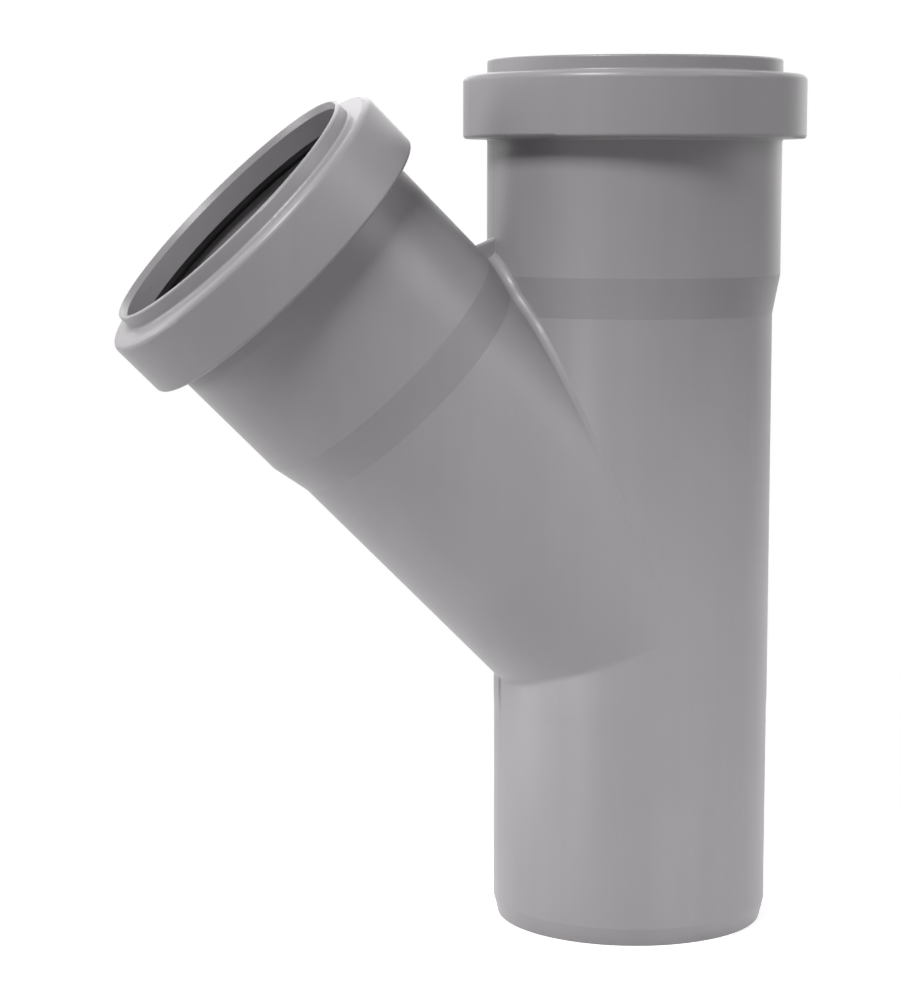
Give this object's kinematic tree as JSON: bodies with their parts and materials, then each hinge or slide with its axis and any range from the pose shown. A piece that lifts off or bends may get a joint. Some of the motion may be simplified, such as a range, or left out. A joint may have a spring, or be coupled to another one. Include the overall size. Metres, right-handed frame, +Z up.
{
  "type": "lateral wye fitting",
  "caption": "Push-fit drain pipe wye: a straight run with a spigot below and a ring-seal socket above, and an equal branch socket at 45 degrees, in grey plastic.",
  "frame": {"origin": "centre of the run's bore in the plane of the spigot's end, which the fitting stands on", "axes": "+Z up the run's axis from the spigot to the run socket; the branch's axis lies in the XZ plane and leaves the run towards -X and +Z, 45 degrees from +Z; the XZ plane is the plane of symmetry"},
  "size_m": [0.2743, 0.1354, 0.3435],
  "materials": {
    "grey_plastic": "moulded, satin",
    "black_rubber": "smooth, satin"
  },
  "bodies": {
    "root": {"fitting_body": "grey_plastic", "run_cap": "grey_plastic", "branch_cap": "grey_plastic", "run_seal": "black_rubber", "branch_seal": "black_rubber"}
  },
  "joints": []
}
